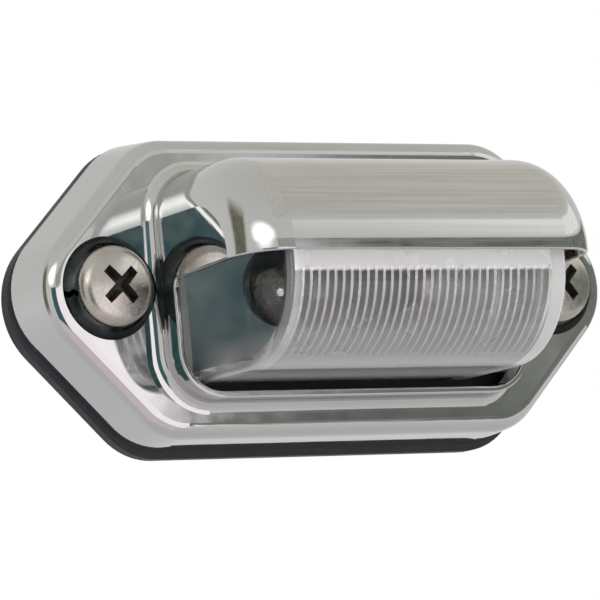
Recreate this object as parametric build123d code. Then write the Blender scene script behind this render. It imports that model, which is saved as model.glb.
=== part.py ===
from build123d import *
from math import asin, atan, cos, degrees, radians, sin, sqrt, tan
import os

# Number plate lamp, in millimetres.
# X runs along the lamp, Z is up as mounted, and the front faces -Y.
# The origin is midway between the two screws on the plane that lies on the vehicle.
# Depths are distances in front of that plane.

# Cover outline
screw_room = 6.6
tip_r = 8.9
slope_deg = 45.6
flange_margin = 4.9
corner_r = 8.5
sheet = 0.8
skirt_depth = 8.2
skirt_inset = 0.8
ridge_r = 1.8

# Gasket
gasket_t = 1.5
gasket_lip = 0.35
gasket_drop = 0.5
gasket_hole_clear = 0.15
gasket_window_r = 4.2

# Hood and window
hood_reach = 22.4
hood_front_r = 12.5
hood_flat = 1.3
hood_end_r = 5.8
root_r = 1.5
collar_height = 4.0
rim_back_z = 0.4
rim_front_z = 1.0
window_corner_r = 1.0
rim_edge_r = 0.25

# Screw pockets
pocket_r = 6.2
pocket_depth = 0.9
pocket_seat_r = 4.5
hole_clear = 0.3

# Lens
lens_clear = 0.35
lens_half_length = 19.7
lens_end_gap = 4.4
lens_axis_z = -0.05
lens_wall = 1.6
lens_edge_r = 0.7
flute_count = 32
flute_depth = 0.5
flute_land = 0.2
flute_spread = 84.0
foot_lap = 2.6
foot_t = 1.6
foot_clear = 0.3
foot_corner_r = 6.0

# Back plate, seal and grommet
plate_t = 1.0
plate_clear = 0.4
grommet_clear = 0.2
grommet_neck_r = 2.3
grommet_flange_r = 3.2
grommet_flange_t = 1.1
wire_r = 1.2

# Screws and washers
shank_r = 2.2
thread_r = 2.5
thread_length = 7.0
point_length = 2.2
point_r = 0.4
head_r = 4.85
head_height = 2.2
head_edge = 0.35
head_corner_r = 1.4
recess_span = 5.4
recess_width = 1.3
recess_depth = 1.4
recess_turn_deg = 43.0
recess_draft_deg = 12.0
washer_r = 4.3
washer_clear = 0.15
washer_t = 2.0
washer_split = 0.6
washer_split_deg = 25.0
washer_split_z = -0.7

# Bulb, measured from its rounded tip along +X
bulb_depth = 18.5
bulb_z = -1.0
tip_clear = 1.4
glass_r = 5.2
glass_wall = 0.5
shoulder_before = 2.0
shoulder_after = 1.0
neck_r = 3.9
neck_length = 3.2
cement_gap = 0.4
cap_wall = 0.3
cap_gap = 1.7
cap_length = 10.8
pin_r = 0.8
pin_reach = 1.0
pin_from_end = 5.4
plug_length = 1.1
plug_inside = 1.3
plug_r = 3.2
solder_r = 1.6
solder_height = 0.8
stem_r = 1.3
stem_clear = 0.27
stem_length = 2.4
lead_r = 0.25
lead_gap = 4.4
filament_x = 7.6
filament_r = 0.55
filament_wire_r = 0.14
filament_turns = 7

# Socket
socket_clear = 0.25
socket_wall = 0.45
socket_set_back = 1.6
socket_end_clear = 0.5
slot_clear = 0.2
slot_turn_deg = 35.0
plunger_r = 2.6
plunger_t = 0.6
stem_pin_r = 0.9
spring_gap = 1.9
spring_wire_r = 0.24
spring_turns = 2.5
insulator_t = 1.2
terminal_t = 0.5
terminal_width = 3.2
terminal_drop = 7.0

# Bracket
bracket_t = 1.0
bracket_rim = 1.8
bracket_clear = 0.2
bracket_foot = 9.0
rivet_r = 1.0
rivet_head_r = 1.8
rivet_head_t = 0.8
rivet_half_pitch = 3.5
rivet_back = 5.0

# Positions that follow from the sizes above
hood_half_length = lens_half_length + lens_end_gap + sheet
hood_half_height = hood_front_r + hood_flat
screw_x = hood_half_length + screw_room
half_height = hood_half_height + flange_margin
flange_depth = gasket_t + skirt_depth
hood_depth = flange_depth + hood_reach
skirt_taper = degrees(atan(skirt_inset / skirt_depth))
plate_depth = gasket_t + plate_t
seat_depth = flange_depth - pocket_depth
lens_back = seat_depth - sheet - foot_clear - foot_t
head_depth = seat_depth + washer_t
hood_axis_depth = hood_depth - hood_front_r
lens_r = hood_front_r - sheet - lens_clear
lens_top_z = hood_half_height - sheet - lens_clear
lens_bottom_z = lens_axis_z - lens_r
lens_front = hood_axis_depth + lens_r
lens_inner_x = lens_half_length - lens_wall
tip_x = tip_clear - lens_inner_x
contact_length = plug_length + solder_height + plunger_t + spring_gap + insulator_t
socket_end = lens_inner_x - socket_end_clear - terminal_t - tip_x
cap_end = socket_end - contact_length
cap_start = cap_end - cap_length
cap_r = neck_r + cement_gap + cap_wall
pin_place = cap_end - pin_from_end
glass_length = cap_start - cap_gap
solder_end = cap_end + plug_length + solder_height
socket_start = cap_start + socket_set_back
socket_bore = cap_r + socket_clear
grommet_x = lens_inner_x - grommet_clear - grommet_flange_r
bracket_x = grommet_x - grommet_flange_r - bracket_clear - bracket_t
rivet_x = bracket_x - rivet_back
rivet_heights = (bulb_z - rivet_half_pitch, bulb_z + rivet_half_pitch)
screw_places = (-screw_x, screw_x)
bulb_axis = Axis((0, -bulb_depth, bulb_z), (1, 0, 0))
bulb_plane = Plane(origin=(tip_x, -bulb_depth, bulb_z), x_dir=(1, 0, 0), z_dir=(0, -1, 0))


def facing(depth):
    """Plane at a depth, drawn as seen from the front."""
    return Plane(origin=(0, -depth, 0), x_dir=(1, 0, 0), z_dir=(0, -1, 0))


def side_plane(x):
    """Plane across the lamp: first axis is depth, second is up, and it extrudes to -X."""
    return Plane(origin=(x, 0, 0), x_dir=(0, -1, 0), z_dir=(-1, 0, 0))


def hexagon(inset):
    """Rounded hexagon of the cover's back edge, moved in by an inset."""
    slope = radians(slope_deg)
    reach = screw_x + (tip_r - inset) / sin(slope)
    top = half_height - inset
    shoulder = reach - top / tan(slope)
    points = [(reach, 0), (shoulder, top), (-shoulder, top)]
    points += [(-x, -z) for x, z in points]
    face = make_face(Polyline(*points, close=True))
    tips = face.vertices().group_by(Axis.Y)[1]
    face = fillet(tips, tip_r - inset)
    rows = face.vertices().group_by(Axis.Y)
    return fillet(rows[0] + rows[-1], corner_r - inset)


def cover_solid(inset):
    """Solid inside the cover's outer skin (inset 0) or inner skin (inset of one sheet)."""
    base = extrude(facing(gasket_t) * hexagon(inset), skirt_depth - inset, taper=skirt_taper)
    front = flange_depth - inset
    rim = base.faces().sort_by(Axis.Y)[0].edges()
    base = fillet(rim, ridge_r - inset)
    half = hood_half_height - inset
    back = gasket_t + ridge_r
    reach = hood_depth - inset - back
    drum = Rectangle(reach, 2 * half, align=(Align.MIN, Align.CENTER))
    drum = fillet(drum.vertices().group_by(Axis.X)[-1], hood_front_r - inset)
    length = hood_half_length - inset
    hood = extrude(side_plane(length) * Pos(back, 0) * drum, 2 * length)
    ends = hood.faces().filter_by(Axis.X).edges().sort_by(Axis.Y)[:-2]
    hood = fillet(ends, hood_end_r - inset)
    body = base + hood
    flange = min(body.faces().filter_by(Axis.Y), key=lambda f: abs(f.center().Y + front))
    return fillet(flange.inner_wires()[0].edges(), root_r + inset)


def spun(points, x, arcs=None):
    """Solid of revolution about a screw axis, from (radius, depth) points and any arcs between them."""
    edges = [Line(a, b) for a, b in zip(points, points[1:] + points[:1])]
    for i, arc in (arcs or {}).items():
        edges[i] = arc
    place = Plane(origin=(x, 0, 0), x_dir=(1, 0, 0), z_dir=(0, 0, 1))
    face = place * mirror(make_face(edges), about=Plane.XZ)
    return revolve(face, Axis((x, 0, 0), (0, 1, 0)), 360)


def on_axis(points, angle=360):
    """Solid of revolution about the bulb axis, from (distance from tip, radius) points."""
    face = make_face(Polyline(*points, close=True))
    return revolve(bulb_plane * face, bulb_axis, angle)


def bayonet_pin(r, reach):
    """Round bar from the bulb axis out through one bayonet pin."""
    origin = (tip_x + pin_place, -bulb_depth, bulb_z)
    return extrude(Plane(origin=origin, x_dir=(1, 0, 0), z_dir=(0, 0, 1)) * Circle(r), reach)


def across(x):
    """Plane square to the bulb axis that extrudes to +X."""
    return Plane(origin=(x, -bulb_depth, bulb_z), x_dir=(0, 1, 0), z_dir=(1, 0, 0))


def rod(r, depth_0, depth_1, x=0.0, z=0.0):
    """Round bar along the depth."""
    return extrude(facing(depth_0) * Pos(x, z) * Circle(r), depth_1 - depth_0)


def soften_rim(shell, cut):
    """Rounds both edges of the sheet all along the window."""
    outline = cut.face().outer_wire()

    def on_rim(edge):
        places = [edge @ t for t in (0, 0.5, 1)]
        apart = [outline.distance_to(Vertex(-p.Y, p.Z)) for p in places]
        return max(apart) < rim_edge_r / 100 and edge.length > sheet + rim_edge_r

    return fillet(shell.edges().filter_by(on_rim), rim_edge_r)


# Cover: one pressed sheet
def make_housing():
    shell = cover_solid(0) - cover_solid(sheet)
    wall = pocket_r - pocket_seat_r
    bowl_r = (wall**2 + pocket_depth**2) / (2 * pocket_depth)
    half = asin(wall / bowl_r) / 2
    seat_edge = (pocket_seat_r, seat_depth)
    mouth = (pocket_r, flange_depth)
    bowl_mid = (pocket_seat_r + bowl_r * sin(half), seat_depth + bowl_r * (1 - cos(half)))
    bowl = ThreePointArc(seat_edge, bowl_mid, mouth)
    above = flange_depth + 2 * root_r
    dish = [(0, seat_depth), seat_edge, mouth, (pocket_r, above), (0, above)]
    under = seat_depth - sheet
    inside = flange_depth - sheet
    pad = [(0, under), (pocket_seat_r, under), (pocket_r + sheet / 2, inside), (0, inside)]
    for x in screw_places:
        shell = shell + spun(pad, x)
        shell = shell - spun(dish, x, {1: bowl})
        shell = shell - rod(thread_r + hole_clear, gasket_t, flange_depth, x)
    rim = flange_depth + collar_height
    far = 2 * hood_depth
    cut = [(rim, -far), (far, -far), (far, rim_front_z), (hood_depth, rim_front_z), (rim, rim_back_z)]
    cut = make_face(Polyline(*cut, close=True))
    inner = cut.vertices().sort_by_distance((rim, rim_back_z))[0]
    cut = fillet(inner, window_corner_r)
    shell = shell - extrude(side_plane(far) * cut, 2 * far)
    return soften_rim(shell, cut)


# Lens: clear tub, smooth outside, flutes inside
def lens_profile(inset):
    top, bottom = lens_top_z - inset, lens_bottom_z + inset
    outline = Rectangle(lens_front - inset - lens_back, top - bottom, align=(Align.MIN, Align.MIN))
    outline = fillet(outline.vertices().group_by(Axis.X)[-1], lens_r - inset)
    return Pos(lens_back, bottom) * outline


def foot_outline():
    """Foot that laps behind the cover's flange and is held by the screw pockets."""
    half_length = hood_half_length + foot_lap
    return RectangleRounded(2 * half_length, 2 * (hood_half_height + foot_lap), foot_corner_r)


def make_lens():
    tub = extrude(side_plane(lens_half_length) * lens_profile(0), 2 * lens_half_length)
    ends = tub.faces().filter_by(Axis.X).edges().sort_by(Axis.Y)[:-2]
    tub = fillet(ends, lens_edge_r)
    tub = tub + extrude(facing(lens_back) * foot_outline(), foot_t)
    tub = tub - extrude(side_plane(lens_inner_x) * lens_profile(lens_wall), 2 * lens_inner_x)
    # flutes ring the axis of the lower curve
    bore = lens_r - lens_wall
    pitch = 2 * (lens_inner_x - flute_land) / flute_count
    first = flute_land - lens_inner_x
    teeth = [(first, bore - flute_depth)]
    for i in range(flute_count):
        teeth += [(first + i * pitch, bore), (first + (i + 0.5) * pitch, bore + flute_depth)]
    teeth += [(first + flute_count * pitch, bore), (first + flute_count * pitch, bore - flute_depth)]
    spin = Axis((0, -hood_axis_depth, lens_axis_z), (1, 0, 0))
    place = Plane(origin=(0, -hood_axis_depth, lens_axis_z), x_dir=(1, 0, 0), z_dir=(0, 0, 1))
    face = place * mirror(make_face(Polyline(*teeth, close=True)), about=Plane.XZ)
    start = (90 - flute_spread) / 2
    comb = revolve(face.rotate(spin, start), spin, flute_spread)
    return tub - comb


# Seal under the lens foot
def make_seal():
    height = lens_top_z - lens_bottom_z - 2 * lens_wall
    inner = Rectangle(2 * lens_inner_x, height)
    ring = foot_outline() - Pos(0, (lens_top_z + lens_bottom_z) / 2) * inner
    return extrude(facing(plate_depth) * ring, lens_back - plate_depth)


# Back plate
def make_plate():
    plate = extrude(facing(gasket_t) * hexagon(sheet + plate_clear), plate_t)
    for x in screw_places:
        plate = plate - rod(thread_r + hole_clear, gasket_t, plate_depth, x)
    plate = plate - rod(grommet_neck_r, gasket_t, plate_depth, grommet_x)
    for z in rivet_heights:
        plate = plate - rod(rivet_r, gasket_t, plate_depth, rivet_x, z)
    return plate


# Gasket
def make_gasket():
    gasket = extrude(facing(0) * Pos(0, -gasket_drop) * hexagon(-gasket_lip), gasket_t)
    for x in screw_places:
        gasket = gasket - rod(thread_r + gasket_hole_clear, 0, gasket_t, x)
    return gasket - rod(gasket_window_r, 0, gasket_t, grommet_x)


# Grommet in the back plate
def make_grommet():
    grommet = rod(grommet_neck_r, gasket_t, plate_depth, grommet_x)
    grommet = grommet + rod(grommet_flange_r, plate_depth, plate_depth + grommet_flange_t, grommet_x)
    grommet = grommet + rod(grommet_flange_r, gasket_t - grommet_flange_t, gasket_t, grommet_x)
    return grommet - rod(wire_r, 0, 2 * plate_depth, grommet_x)


# Screws
def make_screw(x):
    top = head_depth + head_height
    edge = head_depth + head_edge
    # a round corner that runs on into a flatter crown
    rise, inner_r = top - edge, head_r - head_corner_r
    crown_r = (rise**2 + inner_r**2 - head_corner_r**2) / (2 * (rise - head_corner_r))
    share = crown_r / (crown_r - head_corner_r)
    meet = (inner_r * share, top - crown_r + (crown_r - rise) * share)
    corner = TangentArc((head_r, edge), meet, tangent=(0, 1))
    crown = TangentArc(meet, (0, top), tangent=corner % 1)
    profile = [(0, head_depth), (head_r, head_depth), (head_r, edge), meet, (0, top)]
    screw = spun(profile, x, {2: corner, 3: crown}) + rod(shank_r, 0, head_depth, x)
    screw = screw + rod(thread_r, -thread_length, 0, x)
    tip = -thread_length - point_length
    point = [(0, tip), (point_r, tip), (thread_r, -thread_length), (0, -thread_length)]
    screw = screw + spun(point, x)
    arm = Rectangle(recess_span, recess_width) + Rectangle(recess_width, recess_span)
    arm = Rot(0, 0, recess_turn_deg) * arm
    slot = extrude(facing(top) * Pos(x, 0) * arm, -recess_depth, taper=recess_draft_deg)
    return screw - slot


def make_washer(x):
    ring = rod(washer_r, seat_depth, head_depth, x)
    ring = ring - rod(thread_r + washer_clear, seat_depth, head_depth, x)
    split = Box(2 * washer_r, 4 * washer_t, washer_split)
    split = Rot(washer_split_deg, 0, 0) * split
    middle = -(seat_depth + head_depth) / 2
    return ring - Pos(x - washer_r, middle, washer_split_z) * split


# Bulb
def make_glass():
    def skin(inset):
        r, n = glass_r - inset, neck_r - inset
        dome = ThreePointArc(
            (inset, 0), (glass_r - r * cos(radians(45)), r * sin(radians(45))), (glass_r, r)
        )
        start = glass_length - shoulder_before
        stop = glass_length + shoulder_after
        end = glass_length + neck_length
        edges = [
            dome,
            Line((glass_r, r), (start, r)),
            Line((start, r), (stop, n)),
            Line((stop, n), (end, n)),
            Line((end, n), (end, 0)),
            Line((end, 0), (inset, 0)),
        ]
        return revolve(bulb_plane * make_face(edges), bulb_axis, 360)

    return skin(0) - skin(glass_wall)


def make_cap():
    cap = on_axis(
        [
            (cap_start, cap_r),
            (cap_end, cap_r),
            (cap_end, plug_r),
            (cap_end - cap_wall, plug_r),
            (cap_end - cap_wall, cap_r - cap_wall),
            (cap_start, cap_r - cap_wall),
        ]
    )
    pin = bayonet_pin(pin_r, cap_r + pin_reach) - bayonet_pin(pin_r, cap_r - cap_wall)
    return cap + pin + pin.rotate(bulb_axis, 180)


def make_plug():
    inner = cap_end - plug_inside
    outer = cap_end + plug_length
    return on_axis([(inner, 0), (inner, plug_r), (cap_end, plug_r), (outer, solder_r), (outer, 0)])


def make_solder():
    start = cap_end + plug_length
    return on_axis(
        [
            (start, 0),
            (start, solder_r),
            (start + solder_height / 2, solder_r),
            (start + solder_height, solder_r / 2),
            (start + solder_height, 0),
        ]
    )


def lead_line():
    """X of the leads' free ends, of the stem's front, and of its back."""
    back = tip_x + glass_length + neck_length - glass_wall
    return tip_x + filament_x, back - stem_length, back


def make_stem():
    _, front, back = lead_line()
    half = sqrt((neck_r - glass_wall - stem_clear) ** 2 - stem_r**2)
    return extrude(across(front) * Rectangle(2 * stem_r, 2 * half), back - front)


def make_leads():
    free, front, _ = lead_line()
    leads = []
    for z in (-lead_gap / 2, lead_gap / 2):
        leads.append(extrude(across(free) * Pos(0, z) * Circle(lead_r), front - free))
    return Compound(children=leads)


def make_filament():
    free, _, _ = lead_line()
    span = lead_gap - 2 * (lead_r + filament_wire_r)
    coil = Helix(pitch=span / filament_turns, height=span, radius=filament_r)
    path = Pos(free + lead_r, -bulb_depth, bulb_z - span / 2) * coil
    section = Plane(origin=path @ 0, z_dir=path % 0) * RegularPolygon(filament_wire_r, 6)
    return sweep(section, path=path, is_frenet=True)


# Socket
def make_socket():
    outside = socket_bore + socket_wall
    sleeve = on_axis(
        [
            (socket_start, socket_bore),
            (socket_start, outside),
            (socket_end, outside),
            (socket_end, socket_bore),
        ]
    )
    # each pin goes in along a slot, then turns into its seat
    half = pin_r + slot_clear
    far = 2 * outside
    start, stop = pin_place - half, pin_place + half
    entry = Box(stop, 2 * half, far, align=(Align.MAX, Align.CENTER, Align.MIN))
    entry = (Pos(tip_x + stop, -bulb_depth, bulb_z) * entry).rotate(bulb_axis, slot_turn_deg)
    turn = on_axis([(start, 0), (start, far), (stop, far), (stop, 0)], slot_turn_deg)
    slot = bayonet_pin(half, far) + turn + entry
    return sleeve - slot - slot.rotate(bulb_axis, 180)


def make_insulator():
    start = socket_end - insulator_t
    hole = stem_pin_r + socket_clear
    return on_axis([(start, hole), (start, socket_bore), (socket_end, socket_bore), (socket_end, hole)])


def make_plunger():
    disc_end = solder_end + plunger_t
    pin_end = socket_end + terminal_t
    return on_axis(
        [
            (solder_end, 0),
            (solder_end, plunger_r),
            (disc_end, plunger_r),
            (disc_end, stem_pin_r),
            (pin_end, stem_pin_r),
            (pin_end, 0),
        ]
    )


def make_spring():
    height = spring_gap - 2 * spring_wire_r
    coil = Helix(pitch=height / spring_turns, height=height, radius=(plunger_r + stem_pin_r) / 2)
    start = tip_x + solder_end + plunger_t + spring_wire_r
    path = Pos(start, -bulb_depth, bulb_z) * Rot(0, 90, 0) * coil
    section = Plane(origin=path @ 0, z_dir=path % 0) * RegularPolygon(spring_wire_r, 6)
    return sweep(section, path=path, is_frenet=True)


def make_terminal():
    tag = Rectangle(terminal_drop + terminal_width / 2, terminal_width, align=(Align.MIN, Align.CENTER))
    tag = Pos(-terminal_width / 2, 0) * tag - Circle(stem_pin_r)
    return extrude(across(tip_x + socket_end) * tag, terminal_t)


# Bracket that carries the socket
def make_bracket():
    hole = socket_bore + socket_wall
    half = hole + bracket_rim
    drop = bulb_depth - plate_depth
    strip = Circle(half) + Rectangle(drop, 2 * half, align=(Align.MIN, Align.CENTER))
    riser = extrude(across(bracket_x) * (strip - Circle(hole)), bracket_t)
    foot = Box(bracket_foot, bracket_t, 2 * half, align=(Align.MAX, Align.MAX, Align.CENTER))
    foot = Pos(bracket_x + bracket_t, -plate_depth, bulb_z) * foot
    bracket = riser + foot
    for z in rivet_heights:
        bracket = bracket - rod(rivet_r, plate_depth, plate_depth + bracket_t, rivet_x, z)
    return bracket


def make_rivets():
    rivets = []
    top = plate_depth + bracket_t
    for z in rivet_heights:
        shank = rod(rivet_r, gasket_t, top, rivet_x, z)
        rivets.append(shank + rod(rivet_head_r, top, top + rivet_head_t, rivet_x, z))
    return Compound(children=rivets)


nodes = {
    "housing": make_housing(),
    "lens": make_lens(),
    "lens_seal": make_seal(),
    "base_plate": make_plate(),
    "mounting_gasket": make_gasket(),
    "mounting_screws": Compound(children=[make_screw(x) for x in screw_places]),
    "spring_washers": Compound(children=[make_washer(x) for x in screw_places]),
    "socket_bracket": make_bracket(),
    "bracket_rivets": make_rivets(),
    "bulb_socket": make_socket(),
    "socket_insulator": make_insulator(),
    "contact_plunger": make_plunger(),
    "contact_spring": make_spring(),
    "contact_terminal": make_terminal(),
    "bulb_glass": make_glass(),
    "bulb_cap": make_cap(),
    "bulb_insulator": make_plug(),
    "bulb_contact": make_solder(),
    "bulb_stem": make_stem(),
    "filament_leads": make_leads(),
    "bulb_filament": make_filament(),
    "wire_grommet": make_grommet(),
}

os.makedirs("parts", exist_ok=True)
for name, shape in nodes.items():
    export_step(shape, f"parts/{name}.step")
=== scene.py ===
from math import cos, pi, radians, sin

import bpy
from mathutils import Matrix, Vector


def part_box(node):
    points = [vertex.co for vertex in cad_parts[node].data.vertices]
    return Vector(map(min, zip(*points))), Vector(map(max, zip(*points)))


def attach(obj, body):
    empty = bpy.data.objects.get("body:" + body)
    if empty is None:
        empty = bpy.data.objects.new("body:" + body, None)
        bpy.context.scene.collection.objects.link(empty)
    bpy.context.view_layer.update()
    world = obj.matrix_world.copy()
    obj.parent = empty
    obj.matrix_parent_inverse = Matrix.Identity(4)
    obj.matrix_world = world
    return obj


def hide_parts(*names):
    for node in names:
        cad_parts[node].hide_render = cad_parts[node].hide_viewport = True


# Number plate lamp on a white ground. Lengths are metres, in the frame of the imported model:
# X along the lamp, Z up as mounted, the front faces -Y, and the back lies on Y = 0.
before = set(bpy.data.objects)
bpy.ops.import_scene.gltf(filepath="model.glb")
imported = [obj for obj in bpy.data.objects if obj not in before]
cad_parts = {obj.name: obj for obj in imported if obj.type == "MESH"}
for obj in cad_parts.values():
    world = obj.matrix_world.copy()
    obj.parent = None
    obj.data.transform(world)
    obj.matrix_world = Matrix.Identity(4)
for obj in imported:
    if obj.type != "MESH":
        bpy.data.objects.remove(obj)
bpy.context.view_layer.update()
MM = 0.001

# Camera, by its turn, tilt and roll about the lamp. Its lens and sensor are in Blender's millimetres.
VIEW_TURN = radians(32.07)
VIEW_TILT = radians(-7.25)
VIEW_ROLL = radians(-4.99)
VIEW_DISTANCE = 614.6 * MM
AIM_RIGHT = 0.83 * MM
AIM_UP = -0.135 * MM
CLIP_START = 10 * MM
FOCAL_LENGTH = 300
SENSOR_WIDTH = 36

# Lens: its flutes lie on a round wall about an axis along X, and its foot is a ledge behind that wall
LENS_AIR_GAP = 0.03 * MM
FLUTE_AXIS = Vector((0, -19.6, -0.05)) * MM
FLUTE_R = (9.6 * MM, 10.4 * MM)
FLUTE_END = 18.05 * MM
FLUTE_TOP = 2 * MM
FOOT_FROM = -8.2 * MM
FOOT_FACING = 0.5
GAP_TOP = -10.5 * MM

# Haze of the lens and painted shade, in rows of height, clearness and tone from the bottom up; the tone
# column paints the lens darker low down
CLEARNESS, TONE = 1, 2
LENS_HAZE_AND_SHADE = (
    (-11.4 * MM, 0.4, 0.5),
    (-10.0 * MM, 0.75, 0.65),
    (-7.0 * MM, 0.995, 1.0),
    (1.0 * MM, 0.995, 1.0),
)
FLUTE_HAZE_AND_SHADE = (
    (-10.4 * MM, 0.5, 0.48),
    (-8.5 * MM, 0.6, 0.52),
    (-4.5 * MM, 0.92, 1.0),
    (-1.2 * MM, 0.92, 1.0),
    (-0.9 * MM, 0.05, 1.0),
    (0.5 * MM, 0.05, 1.0),
)
HAZE_FADE = (-9.7 * MM, -9.1 * MM)
# Painted light: the lens's tone grows lighter towards the back over this span of depth, up to this gain
PAINTED_LIGHT_SPAN = (-19 * MM, -12 * MM)
PAINTED_LIGHT_GAIN = 1.9
RIM_FROM = 17.45 * MM
RIM_FACING = 0.9
RIM_LOSS = (0.15, 0.5)

# Screws
SCREW_X = 31.5 * MM
RECESS_R = 2.75 * MM
RECESS_FLOOR = -11.7 * MM
HEAD_FACING = 0.9
THREAD_R = 2.5 * MM
THREAD_ROOT = 2.1 * MM
THREAD_SUNK = 0.1 * MM
THREAD_PITCH = 1.6 * MM
RIDGE_HALF = THREAD_PITCH / 4
THREAD_LENGTH = 8.4 * MM
THREAD_POINT = 2.2 * MM
POINT_SHARE = 0.35
THREAD_FADE = 0.5 * MM
THREAD_STEPS = 36

# Surface noise: the middle range that most of it fills, its detail, and how far its lumps differ in size
NOISE_MIDDLE = (0.3, 0.7)
DRIFT_DETAIL = 3.0
GLOSS_DETAIL = 2.0
GRAIN_DETAIL = 4.0
GLOSS_FINER = 6
DRIFT_COARSER = 12

# Tones, each a dark and a light one
CHROME = ((0.59, 0.59, 0.585), (0.62, 0.62, 0.61))
STEEL = ((0.42, 0.42, 0.41), (0.52, 0.52, 0.5))
PLATE_ZINC = ((0.1, 0.19, 0.205), (0.3, 0.41, 0.42))
BRACKET_ZINC = ((0.28, 0.3, 0.31), (0.4, 0.42, 0.43))
SOCKET_ZINC = ((0.12, 0.15, 0.16), (0.2, 0.23, 0.24))
ALUMINIUM = ((0.6, 0.6, 0.6), (0.7, 0.7, 0.7))
BRASS = ((0.55, 0.4, 0.17), (0.66, 0.5, 0.24))
NICKEL = ((0.46, 0.43, 0.39), (0.58, 0.55, 0.5))
SOLDER = ((0.4, 0.4, 0.42), (0.55, 0.55, 0.56))
TUNGSTEN = ((0.2, 0.2, 0.21), (0.32, 0.32, 0.33))
# Blackened steel for the washers, kept this dark also as painted shade under the screw heads
BLACKENED_AND_SHADE = ((0.05, 0.06, 0.064), (0.09, 0.105, 0.11))
# Painted shade for the screw recesses
RECESS_SHADE = ((0.02, 0.018, 0.014), (0.07, 0.063, 0.05))
# Painted shade for the gap under the lens's foot
GAP_SHADE = ((0.002, 0.008, 0.012), (0.006, 0.018, 0.024))
RUBBER = ((0.008, 0.01, 0.013), (0.02, 0.023, 0.028))
RESIN = ((0.07, 0.03, 0.015), (0.12, 0.055, 0.03))
BLACK_GLASS = ((0.008, 0.007, 0.01), (0.02, 0.017, 0.022))
PAPER = ((0.86, 0.86, 0.86), (0.88, 0.88, 0.88))

# Tints and refraction of what is clear
ACRYLIC = (0.95, 0.94, 0.935)
# Painted shade: the bulb's glass is tinted near black so that it looks dark inside the lamp
BULB_SHADE_TINT = (0.06, 0.09, 0.10)
STEM_GLASS = (0.95, 0.97, 0.97)
ACRYLIC_IOR = 1.49
GLASS_IOR = 1.5

# Stage. A panel at a smaller radius hides those behind it.
FLOOR_Z = -0.75
FLOOR_HALF = 4.0
FLOOR_GRAIN = 30 * MM
FLOOR_WHITE = 0.85
WORLD_LIGHT = 0.5
TENT_R = 4.0
TENT_SEGMENTS = 48
TENT_RINGS = 24
TENT_TONES = (
    (0.05, (0.62, 0.61, 0.62)),
    (0.45, (0.80, 0.79, 0.80)),
    (0.6, (0.74, 0.74, 0.73)),
    (1.0, (0.66, 0.655, 0.64)),
)
PANEL_BEHIND = 3.1
PANEL_R = 3.0
PANEL_BEFORE = 2.9
PANEL_FIRST = 2.8
PANEL_STEP = 6
PANEL_LUMP = 0.12
PANEL_MOTTLE = 0.1
PANEL_MIDDLE = (0.35, 0.65)


# Node helpers
def new_material(name):
    """Node material with an empty tree."""
    material = bpy.data.materials.new(name)
    material.use_nodes = True
    material.node_tree.nodes.clear()
    return material, material.node_tree


def add_node(tree, kind, inputs=None, **settings):
    """Node of a kind, with its input values or links and its settings."""
    node = tree.nodes.new(kind)
    for key, value in settings.items():
        setattr(node, key, value)
    for key, value in (inputs or {}).items():
        if isinstance(value, bpy.types.NodeSocket):
            tree.links.new(value, node.inputs[key])
        else:
            node.inputs[key].default_value = value
    return node


def show(tree, shader, output="ShaderNodeOutputMaterial"):
    """Makes a shader the surface of its tree."""
    add_node(tree, output, {"Surface": shader})


def coordinates(tree, kind):
    """Texture coordinates of a kind."""
    return add_node(tree, "ShaderNodeTexCoord").outputs[kind]


def separate(tree, vector):
    """The three parts of a vector."""
    return add_node(tree, "ShaderNodeSeparateXYZ", {0: vector}).outputs


def reckon(tree, operation, *values):
    """Result of one step of arithmetic on sockets or numbers."""
    return add_node(tree, "ShaderNodeMath", dict(enumerate(values)), operation=operation).outputs[0]


def stretch(tree, value, span, result=(0, 1), kind="LINEAR"):
    """A value, where it goes from one end of a span to the other, as one that goes through a result."""
    (start, end), (low, high) = span, result
    inputs = {"Value": value, "From Min": start, "From Max": end, "To Min": low, "To Max": high}
    return add_node(tree, "ShaderNodeMapRange", inputs, interpolation_type=kind).outputs[0]


def noise(tree, size, detail=DRIFT_DETAIL):
    """Noise whose lumps are about one size across, in metres."""
    inputs = {"Vector": coordinates(tree, "Object"), "Scale": 1 / size, "Detail": detail}
    return add_node(tree, "ShaderNodeTexNoise", inputs).outputs["Fac"]


def ramp(tree, factor, stops):
    """Colour ramp with (place, colour) stops."""
    node = add_node(tree, "ShaderNodeValToRGB", {"Fac": factor})
    elements = node.color_ramp.elements
    for element, (place, colour) in zip(elements, (stops[0], stops[-1])):
        element.position = place
        element.color = (*colour, 1)
    for place, colour in stops[1:-1]:
        elements.new(place).color = (*colour, 1)
    return node.outputs["Color"]


def two_tones(tree, factor, dark, light, middle=NOISE_MIDDLE):
    """Colour that goes from dark to light over a noise's middle range."""
    return ramp(tree, factor, list(zip(middle, (dark, light))))


def spread(tree, factor, low, high):
    """A noise's middle range stretched to run from low to high."""
    return stretch(tree, factor, NOISE_MIDDLE, (low, high))


def bump(tree, height, depth):
    """Normal of a height field of some depth in metres."""
    inputs = {"Height": height, "Strength": 1.0, "Distance": depth}
    return add_node(tree, "ShaderNodeBump", inputs).outputs[0]


def glow(tree, colour):
    """Shader that gives off a colour at full strength."""
    return add_node(tree, "ShaderNodeEmission", {"Color": colour, "Strength": 1.0}).outputs[0]


def mix(tree, share, first, second):
    """Shader with a share of the second of two."""
    return add_node(tree, "ShaderNodeMixShader", {0: share, 1: first, 2: second}).outputs[0]


def principled(name, inputs):
    """Material with one shader, whose inputs a function of its tree gives."""
    material, tree = new_material(name)
    show(tree, add_node(tree, "ShaderNodeBsdfPrincipled", inputs(tree)).outputs[0])
    return material


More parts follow.
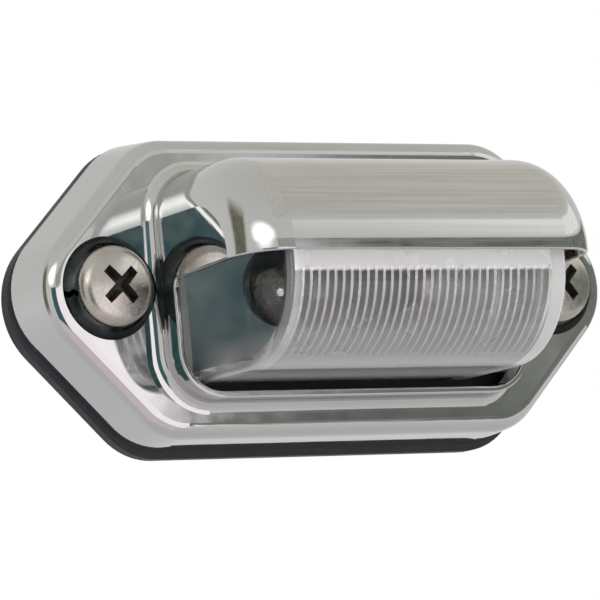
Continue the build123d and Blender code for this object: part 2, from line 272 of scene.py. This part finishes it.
# Materials of the lamp
def metal(name, dark, light, rough, grain, depth, shine=1.0):
    """Metal whose tone and gloss drift over lumps of one grain size, chalky where it has less shine."""

    def inputs(tree):
        drift = noise(tree, grain)
        fine = noise(tree, grain / GLOSS_FINER, GLOSS_DETAIL)
        return {
            "Base Color": two_tones(tree, drift, dark, light),
            "Metallic": shine,
            "Roughness": spread(tree, fine, *rough),
            "Normal": bump(tree, drift, depth),
        }

    return principled(name, inputs)


def matt(name, dark, light, rough, grain, depth):
    """Rubber, resin or other dull stuff with a fine grain."""

    def inputs(tree):
        drift = noise(tree, grain * DRIFT_COARSER)
        fine = noise(tree, grain, GRAIN_DETAIL)
        return {
            "Base Color": two_tones(tree, drift, dark, light),
            "Roughness": spread(tree, drift, *rough),
            "Normal": bump(tree, fine, depth),
        }

    return principled(name, inputs)


def clear(name, tint, rough, ripple, depth):
    """Clear glass, or glass tinted dark as painted shade, with a faint ripple."""

    def inputs(tree):
        drift = noise(tree, ripple)
        return {
            "Base Color": (*tint, 1),
            "Transmission Weight": 1.0,
            "IOR": GLASS_IOR,
            "Roughness": spread(tree, drift, *rough),
            "Normal": bump(tree, drift, depth),
        }

    return principled(name, inputs)


def haze_at(tree, height, haze, column):
    """Value at a height, by one column of a table of haze and painted shade."""
    low, high = haze[0][0], haze[-1][0]
    stops = [((row[0] - low) / (high - low), (row[column],) * 3) for row in haze]
    return ramp(tree, stretch(tree, height, (low, high)), stops)


def rim_loss(tree, along):
    """Clearness lost on the rims of the lens's ends, most on the right one."""
    normal = add_node(tree, "ShaderNodeNewGeometry").outputs["Normal"]
    at_end = reckon(tree, "GREATER_THAN", reckon(tree, "ABSOLUTE", along), RIM_FROM)
    sideways = reckon(tree, "ABSOLUTE", separate(tree, normal)[0])
    on_rim = reckon(tree, "MULTIPLY", at_end, reckon(tree, "LESS_THAN", sideways, RIM_FACING))
    return reckon(tree, "MULTIPLY", on_rim, stretch(tree, along, (-RIM_FROM, RIM_FROM), RIM_LOSS))


def hazy(name, rough, ripple, depth, haze):
    """Clear plastic with a table of haze and painted shade in front, painted lighter further back, and more
    haze on the rims of its ends.
    """

    def inputs(tree):
        drift = noise(tree, ripple)
        along, inward, height = separate(tree, coordinates(tree, "Object"))
        clearness = haze_at(tree, height, haze, CLEARNESS)
        clearness = reckon(tree, "MAXIMUM", clearness, stretch(tree, inward, HAZE_FADE))
        # Painted shade and light: the tone darkens the colour low down and lightens it further back
        tone = haze_at(tree, height, haze, TONE)
        tone = reckon(tree, "MULTIPLY", tone, stretch(tree, inward, PAINTED_LIGHT_SPAN, (1, PAINTED_LIGHT_GAIN)))
        tinted = {0: ACRYLIC, "Scale": reckon(tree, "MINIMUM", tone, 1)}
        return {
            "Base Color": add_node(tree, "ShaderNodeVectorMath", tinted, operation="SCALE").outputs[0],
            "Transmission Weight": reckon(tree, "SUBTRACT", clearness, rim_loss(tree, along)),
            "IOR": ACRYLIC_IOR,
            "Roughness": spread(tree, drift, *rough),
            "Normal": bump(tree, drift, depth),
        }

    return principled(name, inputs)


materials = {
    "housing": metal("chrome_plate", *CHROME, rough=(0.03, 0.07), grain=14 * MM, depth=0.025 * MM),
    "lens": hazy("clear_acrylic", rough=(0.0, 0.03), ripple=5 * MM, depth=0.005 * MM, haze=LENS_HAZE_AND_SHADE),
    "flutes": hazy("frosted_acrylic", rough=(0.2, 0.3), ripple=5 * MM, depth=0.005 * MM, haze=FLUTE_HAZE_AND_SHADE),
    # Painted shade: the gap under the lens is near black
    "gap": matt("gap_shade", *GAP_SHADE, rough=(0.7, 0.9), grain=0.4 * MM, depth=0.01 * MM),
    "lens_seal": matt("seal_rubber", *RUBBER, rough=(0.45, 0.6), grain=0.3 * MM, depth=0.02 * MM),
    "base_plate": metal(
        "plate_zinc", *PLATE_ZINC, rough=(0.3, 0.45), grain=6 * MM, depth=0.01 * MM, shine=0.1
    ),
    "mounting_gasket": matt("gasket_rubber", *RUBBER, rough=(0.45, 0.65), grain=0.35 * MM, depth=0.03 * MM),
    "mounting_screws": metal("screw_nickel", *NICKEL, rough=(0.22, 0.36), grain=2.5 * MM, depth=0.02 * MM),
    # Painted shade: the recess walls and floor are near black
    "recess": metal(
        "recess_shade", *RECESS_SHADE, rough=(0.4, 0.6), grain=1 * MM, depth=0.02 * MM, shine=0.6
    ),
    # Washers: blackened steel, partly painted shade under the screw heads
    "spring_washers": metal("black_steel_and_shade", *BLACKENED_AND_SHADE, rough=(0.3, 0.45), grain=2 * MM, depth=0.01 * MM),
    "socket_bracket": metal(
        "bracket_zinc", *BRACKET_ZINC, rough=(0.25, 0.4), grain=5 * MM, depth=0.01 * MM, shine=0.3
    ),
    "bracket_rivets": metal("rivet_aluminium", *ALUMINIUM, rough=(0.25, 0.4), grain=2 * MM, depth=0.01 * MM),
    "bulb_socket": metal(
        "socket_zinc", *SOCKET_ZINC, rough=(0.25, 0.4), grain=4 * MM, depth=0.01 * MM, shine=0.5
    ),
    "socket_insulator": matt("brown_resin", *RESIN, rough=(0.35, 0.5), grain=0.4 * MM, depth=0.02 * MM),
    "contact_plunger": metal("plunger_brass", *BRASS, rough=(0.2, 0.35), grain=2 * MM, depth=0.01 * MM),
    "contact_spring": metal("spring_steel", *STEEL, rough=(0.2, 0.35), grain=2 * MM, depth=0.005 * MM),
    "contact_terminal": metal("terminal_brass", *BRASS, rough=(0.2, 0.35), grain=3 * MM, depth=0.01 * MM),
    # The bulb's near-black tint is painted shade
    "bulb_glass": clear("bulb_glass", BULB_SHADE_TINT, rough=(0.0, 0.01), ripple=6 * MM, depth=0.005 * MM),
    "bulb_cap": metal("cap_nickel", *NICKEL, rough=(0.2, 0.32), grain=3 * MM, depth=0.01 * MM),
    "bulb_insulator": matt("black_glass", *BLACK_GLASS, rough=(0.1, 0.2), grain=0.5 * MM, depth=0.01 * MM),
    "bulb_contact": metal("solder", *SOLDER, rough=(0.3, 0.45), grain=1 * MM, depth=0.02 * MM),
    "bulb_stem": clear("stem_glass", STEM_GLASS, rough=(0.0, 0.05), ripple=2 * MM, depth=0.01 * MM),
    "filament_leads": metal("lead_wire", *NICKEL, rough=(0.25, 0.4), grain=1 * MM, depth=0.002 * MM),
    "bulb_filament": metal("tungsten", *TUNGSTEN, rough=(0.4, 0.55), grain=0.5 * MM, depth=0.002 * MM),
    "wire_grommet": matt("grommet_rubber", *RUBBER, rough=(0.5, 0.7), grain=0.3 * MM, depth=0.02 * MM),
}

for name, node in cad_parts.items():
    node.data.materials.clear()
    node.data.materials.append(materials[name])


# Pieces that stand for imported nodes
def add_object(name, data):
    """Object in the scene with its mesh, light or camera."""
    made = bpy.data.objects.new(name, data)
    bpy.context.scene.collection.objects.link(made)
    return made


def add_mesh(name, points, faces):
    """Object with a new mesh."""
    mesh = bpy.data.meshes.new(name)
    mesh.from_pydata(points, [], faces)
    return add_object(name, mesh)


def dressed_copy(name, node):
    """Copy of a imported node, to be dressed and shown in its place."""
    made = add_object(name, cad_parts[node].data.copy())
    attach(made, "root")
    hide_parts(node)
    return made


def make_lens():
    """Lens with frosted flutes and painted shade in the gap below, a hair off its seal so that its back shows
    the seal.
    """
    lens = dressed_copy("clear_lens", "lens")
    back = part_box("lens")[1].y
    for vertex in lens.data.vertices:
        if vertex.co.y > back - LENS_AIR_GAP:
            vertex.co.y -= LENS_AIR_GAP
    lens.data.materials.append(materials["flutes"])
    lens.data.materials.append(materials["gap"])
    for face in lens.data.polygons:
        across = face.center - FLUTE_AXIS
        from_axis = (across.y**2 + across.z**2) ** 0.5
        in_front = across.y < 0 and across.z < FLUTE_TOP and abs(face.center.x) < FLUTE_END
        on_foot = face.center.y > FOOT_FROM and face.normal.y < -FOOT_FACING
        if in_front and FLUTE_R[0] < from_axis < FLUTE_R[1]:
            face.material_index = 1
        # The foot's lower front faces take the painted shade of the gap
        elif on_foot and face.center.z < GAP_TOP:
            face.material_index = 2
    return lens


def from_screw(place):
    """Distance of a place from the axis of the screw on its side."""
    return ((abs(place.x) - SCREW_X) ** 2 + place.z**2) ** 0.5


def make_screws():
    """Screws with painted shade in the recess, cut back to the root of the thread."""
    screws = dressed_copy("pan_head_screws", "mounting_screws")
    for vertex in screws.data.vertices:
        if vertex.co.y > -THREAD_FADE:
            side = SCREW_X if vertex.co.x > 0 else -SCREW_X
            vertex.co.x = side + (vertex.co.x - side) * THREAD_ROOT / THREAD_R
            vertex.co.z *= THREAD_ROOT / THREAD_R
    screws.data.materials.append(materials["recess"])
    # The recess walls and floor take the painted shade
    for face in screws.data.polygons:
        wall_or_floor = face.normal.y > -HEAD_FACING or face.center.y > RECESS_FLOOR
        if from_screw(face.center) < RECESS_R and face.center.y < 0 and wall_or_floor:
            face.material_index = 1


def thread_ring(side, turn, depth):
    """Three corners of the thread's ridge at a turn and a depth: foot, crest and foot."""
    left = THREAD_LENGTH - depth
    root = THREAD_ROOT * (POINT_SHARE + (1 - POINT_SHARE) * min(1, left / THREAD_POINT))
    crest = root + (THREAD_R - THREAD_ROOT) * min(1, depth / THREAD_PITCH, left / THREAD_FADE)
    corners = []
    for step, reach in enumerate((root - THREAD_SUNK, crest, root - THREAD_SUNK)):
        corners.append((side + reach * cos(turn), depth + RIDGE_HALF * step, reach * sin(turn)))
    return corners


def make_threads():
    """Tapping thread of both screws: a ridge wound from the seat to the point."""
    points, faces = [], []
    steps = int(THREAD_LENGTH / THREAD_PITCH * THREAD_STEPS)
    for side in (-SCREW_X, SCREW_X):
        start = len(points)
        for i in range(steps + 1):
            points += thread_ring(side, 2 * pi * i / THREAD_STEPS, THREAD_LENGTH * i / steps)
            if i:
                ring, last = start + 3 * i, start + 3 * (i - 1)
                for k in range(3):
                    faces.append((last + k, ring + k, ring + (k + 1) % 3, last + (k + 1) % 3))
        end = start + 3 * steps
        faces.append((start, start + 1, start + 2))
        faces.append((end + 2, end + 1, end))
    threads = add_mesh("screw_threads", points, faces)
    threads.data.materials.append(materials["mounting_screws"])
    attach(threads, "root")


make_screws()
make_threads()

# Light falls through the clear pieces
for clear_piece in (make_lens(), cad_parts["bulb_glass"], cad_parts["bulb_stem"]):
    clear_piece.visible_shadow = False


# Stage: floor, world, tent, reflector panels and lamps
def towards(azimuth, elevation):
    """Direction by degrees: azimuth from the front towards +X, elevation above the horizon."""
    a, e = radians(azimuth), radians(elevation)
    return Vector((sin(a) * cos(e), -cos(a) * cos(e), sin(e)))


def only_reflected(made):
    """Keeps a stage piece to what metal and glass show of it."""
    made.visible_camera = False
    made.visible_diffuse = False
    made.visible_shadow = False


def make_floor():
    """Pale paper that keeps the lamp's shadow, and looks nearly white to the camera."""
    corners = [(x * FLOOR_HALF, y * FLOOR_HALF, FLOOR_Z) for x, y in ((-1, -1), (1, -1), (1, 1), (-1, 1))]
    floor = add_mesh("floor", corners, [(0, 1, 2, 3)])
    material, tree = new_material("floor_paper")
    grain = two_tones(tree, noise(tree, FLOOR_GRAIN), *PAPER)
    paper = add_node(tree, "ShaderNodeBsdfDiffuse", {"Color": grain}).outputs[0]
    seen = add_node(tree, "ShaderNodeLightPath").outputs["Is Camera Ray"]
    seen = reckon(tree, "MULTIPLY", seen, FLOOR_WHITE)
    show(tree, mix(tree, seen, paper, glow(tree, (1, 1, 1, 1))))
    floor.data.materials.append(material)
    floor.visible_glossy = False
    floor.visible_transmission = False


def make_world():
    """White to the camera and in metal and glass, and dimmer as a light."""
    world = bpy.data.worlds.new("studio")
    bpy.context.scene.world = world
    world.use_nodes = True
    tree = world.node_tree
    tree.nodes.clear()
    path = add_node(tree, "ShaderNodeLightPath").outputs
    seen = reckon(tree, "MAXIMUM", path["Is Camera Ray"], path["Is Glossy Ray"])
    seen = reckon(tree, "MAXIMUM", seen, path["Is Transmission Ray"])
    inputs = {"Color": (1, 1, 1, 1), "Strength": stretch(tree, seen, (0, 1), (WORLD_LIGHT, 1))}
    sky = add_node(tree, "ShaderNodeBackground", inputs).outputs[0]
    show(tree, sky, "ShaderNodeOutputWorld")


def make_tent():
    """Grey cloth all round, palest just below the horizon."""
    bpy.ops.mesh.primitive_uv_sphere_add(segments=TENT_SEGMENTS, ring_count=TENT_RINGS, radius=TENT_R)
    tent = bpy.context.object
    tent.name = "tent"
    material, tree = new_material("tent_cloth")
    height = separate(tree, coordinates(tree, "Generated"))[2]
    show(tree, glow(tree, ramp(tree, height, TENT_TONES)))
    tent.data.materials.append(material)
    only_reflected(tent)


def square_fade(tree, soft):
    """1 inside a panel's square, falling to 0 at its edges."""
    fades = []
    for part in separate(tree, coordinates(tree, "UV"))[:2]:
        from_edge = reckon(tree, "PINGPONG", part, 0.5)
        fades.append(stretch(tree, from_edge, (0, soft / 2), kind="SMOOTHSTEP"))
    return reckon(tree, "MULTIPLY", *fades)


def oval_fade(tree, soft):
    """1 in the middle of a panel, falling to 0 at the oval that its square holds."""
    inputs = {0: coordinates(tree, "UV"), 1: (0.5, 0.5, 0)}
    apart = add_node(tree, "ShaderNodeVectorMath", inputs, operation="DISTANCE").outputs["Value"]
    return stretch(tree, apart, (0.5, 0.5 * (1 - soft)), kind="SMOOTHSTEP")


def panel_cloth(name, colour, soft, mottle, oval, lump):
    """Glowing cloth in lumps of tone, with edges that fade over a share of its width."""
    material, tree = new_material(name)
    shown = oval_fade(tree, soft) if oval else square_fade(tree, soft)
    dim, bright = ([share * level for level in colour] for share in (1 - mottle, 1 + mottle))
    cloth = two_tones(tree, noise(tree, lump), dim, bright, PANEL_MIDDLE)
    hole = add_node(tree, "ShaderNodeBsdfTransparent").outputs[0]
    show(tree, mix(tree, shown, hole, glow(tree, cloth)))
    return material


def make_panel(name, azimuths, elevations, colour, soft, mottle=PANEL_MOTTLE, lump=PANEL_LUMP,
               radius=PANEL_R, oval=False, in_glass=True, in_metal=True):
    """Reflector over a range of directions, for glass, metal or both."""
    columns = max(2, int((azimuths[1] - azimuths[0]) / PANEL_STEP))
    rows = max(2, int((elevations[1] - elevations[0]) / PANEL_STEP))
    points, uvs, faces = [], [], []
    for j in range(rows + 1):
        for i in range(columns + 1):
            u, v = i / columns, j / rows
            azimuth = azimuths[0] + u * (azimuths[1] - azimuths[0])
            elevation = elevations[0] + v * (elevations[1] - elevations[0])
            points.append(towards(azimuth, elevation) * radius)
            uvs.append((u, v))
    for j in range(rows):
        for i in range(columns):
            a = j * (columns + 1) + i
            faces.append((a, a + 1, a + columns + 2, a + columns + 1))
    panel = add_mesh(name, points, faces)
    layer = panel.data.uv_layers.new()
    for loop in panel.data.loops:
        layer.data[loop.index].uv = uvs[loop.vertex_index]
    panel.data.materials.append(panel_cloth(name, colour, soft, mottle, oval, lump))
    panel.visible_transmission = in_glass
    panel.visible_glossy = in_metal
    only_reflected(panel)


def make_lamp(name, direction, distance, size, power):
    """Square soft lamp that faces the object and isn't mirrored in it."""
    data = bpy.data.lights.new(name, "AREA")
    data.size = size
    data.energy = power
    lamp = add_object(name, data)
    lamp.location = direction * distance
    lamp.rotation_euler = direction.to_track_quat("Z", "Y").to_euler()
    lamp.visible_glossy = False
    lamp.visible_transmission = False
    lamp.visible_camera = False


make_floor()
make_world()
make_tent()

# Panels that both metal and glass show
make_panel("ceiling_panel", (-13, 150), (36, 80), colour=(0.66, 0.645, 0.59), soft=0.12)
make_panel("front_panel", (-11.5, 31.3), (-28, 8.8), colour=(1.36, 1.28, 1.31), soft=0.06)
make_panel("front_shade", (-11.5, 31.3), (5, 16.2), colour=(0.45, 0.45, 0.42), soft=0.05, radius=PANEL_BEHIND)
make_panel("upper_right_panel", (31.3, 100), (16.2, 34), colour=(1.1, 1.09, 1.06), soft=0.35)
make_panel("left_window", (-76, -8), (8, 36), colour=(2.4, 2.4, 2.4), soft=0.6, oval=True)
make_panel("pink_ground", (-64, 30), (-64, -30), colour=(0.80, 0.70, 0.74), soft=0.2)

# Panels for metal alone
make_panel("right_flag", (31.3, 115), (-14, 16), colour=(0.22, 0.235, 0.21), soft=0.05, mottle=0.6, lump=0.05,
           in_glass=False)
make_panel("low_flag", (29.8, 40), (-10, 6.5), colour=(0.2, 0.215, 0.19), soft=0.1, mottle=0.4,
           radius=PANEL_BEFORE, in_glass=False)
make_panel("camera_flag", (-46, -12), (-28, 9.3), colour=(0.07, 0.15, 0.16), soft=0.04, mottle=0.3,
           in_glass=False)
make_panel("left_flag", (-122, -80), (-30, 45), colour=(0.20, 0.19, 0.13), soft=0.5, mottle=0.3,
           in_glass=False)

# Panels for glass alone
make_panel("bulb_window", (-62, -36), (-40, -14), colour=(20, 20, 21), soft=0.5, radius=PANEL_BEFORE,
           oval=True, in_metal=False)
make_panel("lens_flag", (29.8, 120), (-62, 16), colour=(0.24, 0.26, 0.27), soft=0.05, radius=PANEL_FIRST,
           in_metal=False)

make_lamp("key_lamp", towards(-20, 48), distance=1.4, size=0.9, power=9.8)
make_lamp("fill_lamp", towards(60, 20), distance=1.4, size=0.9, power=3.5)
make_lamp("low_lamp", towards(4, -32), distance=1.0, size=0.5, power=4.6)


def make_camera():
    """Long lens that looks up at the lamp's left end, turned and rolled as in the photograph."""
    back = Vector((-sin(VIEW_TURN) * cos(VIEW_TILT), -cos(VIEW_TURN) * cos(VIEW_TILT), sin(VIEW_TILT)))
    right = Vector((cos(VIEW_TURN), -sin(VIEW_TURN), 0))
    up = back.cross(right)
    across = cos(VIEW_ROLL) * right + sin(VIEW_ROLL) * up
    above = cos(VIEW_ROLL) * up - sin(VIEW_ROLL) * right
    data = bpy.data.cameras.new("camera")
    data.lens = FOCAL_LENGTH
    data.sensor_width = SENSOR_WIDTH
    data.clip_start = CLIP_START
    camera = add_object("camera", data)
    place = back * VIEW_DISTANCE + across * AIM_RIGHT + above * AIM_UP
    camera.matrix_world = Matrix.Translation(place) @ Matrix((across, above, back)).transposed().to_4x4()
    bpy.context.scene.camera = camera


make_camera()
bpy.context.scene.view_settings.view_transform = "Standard"
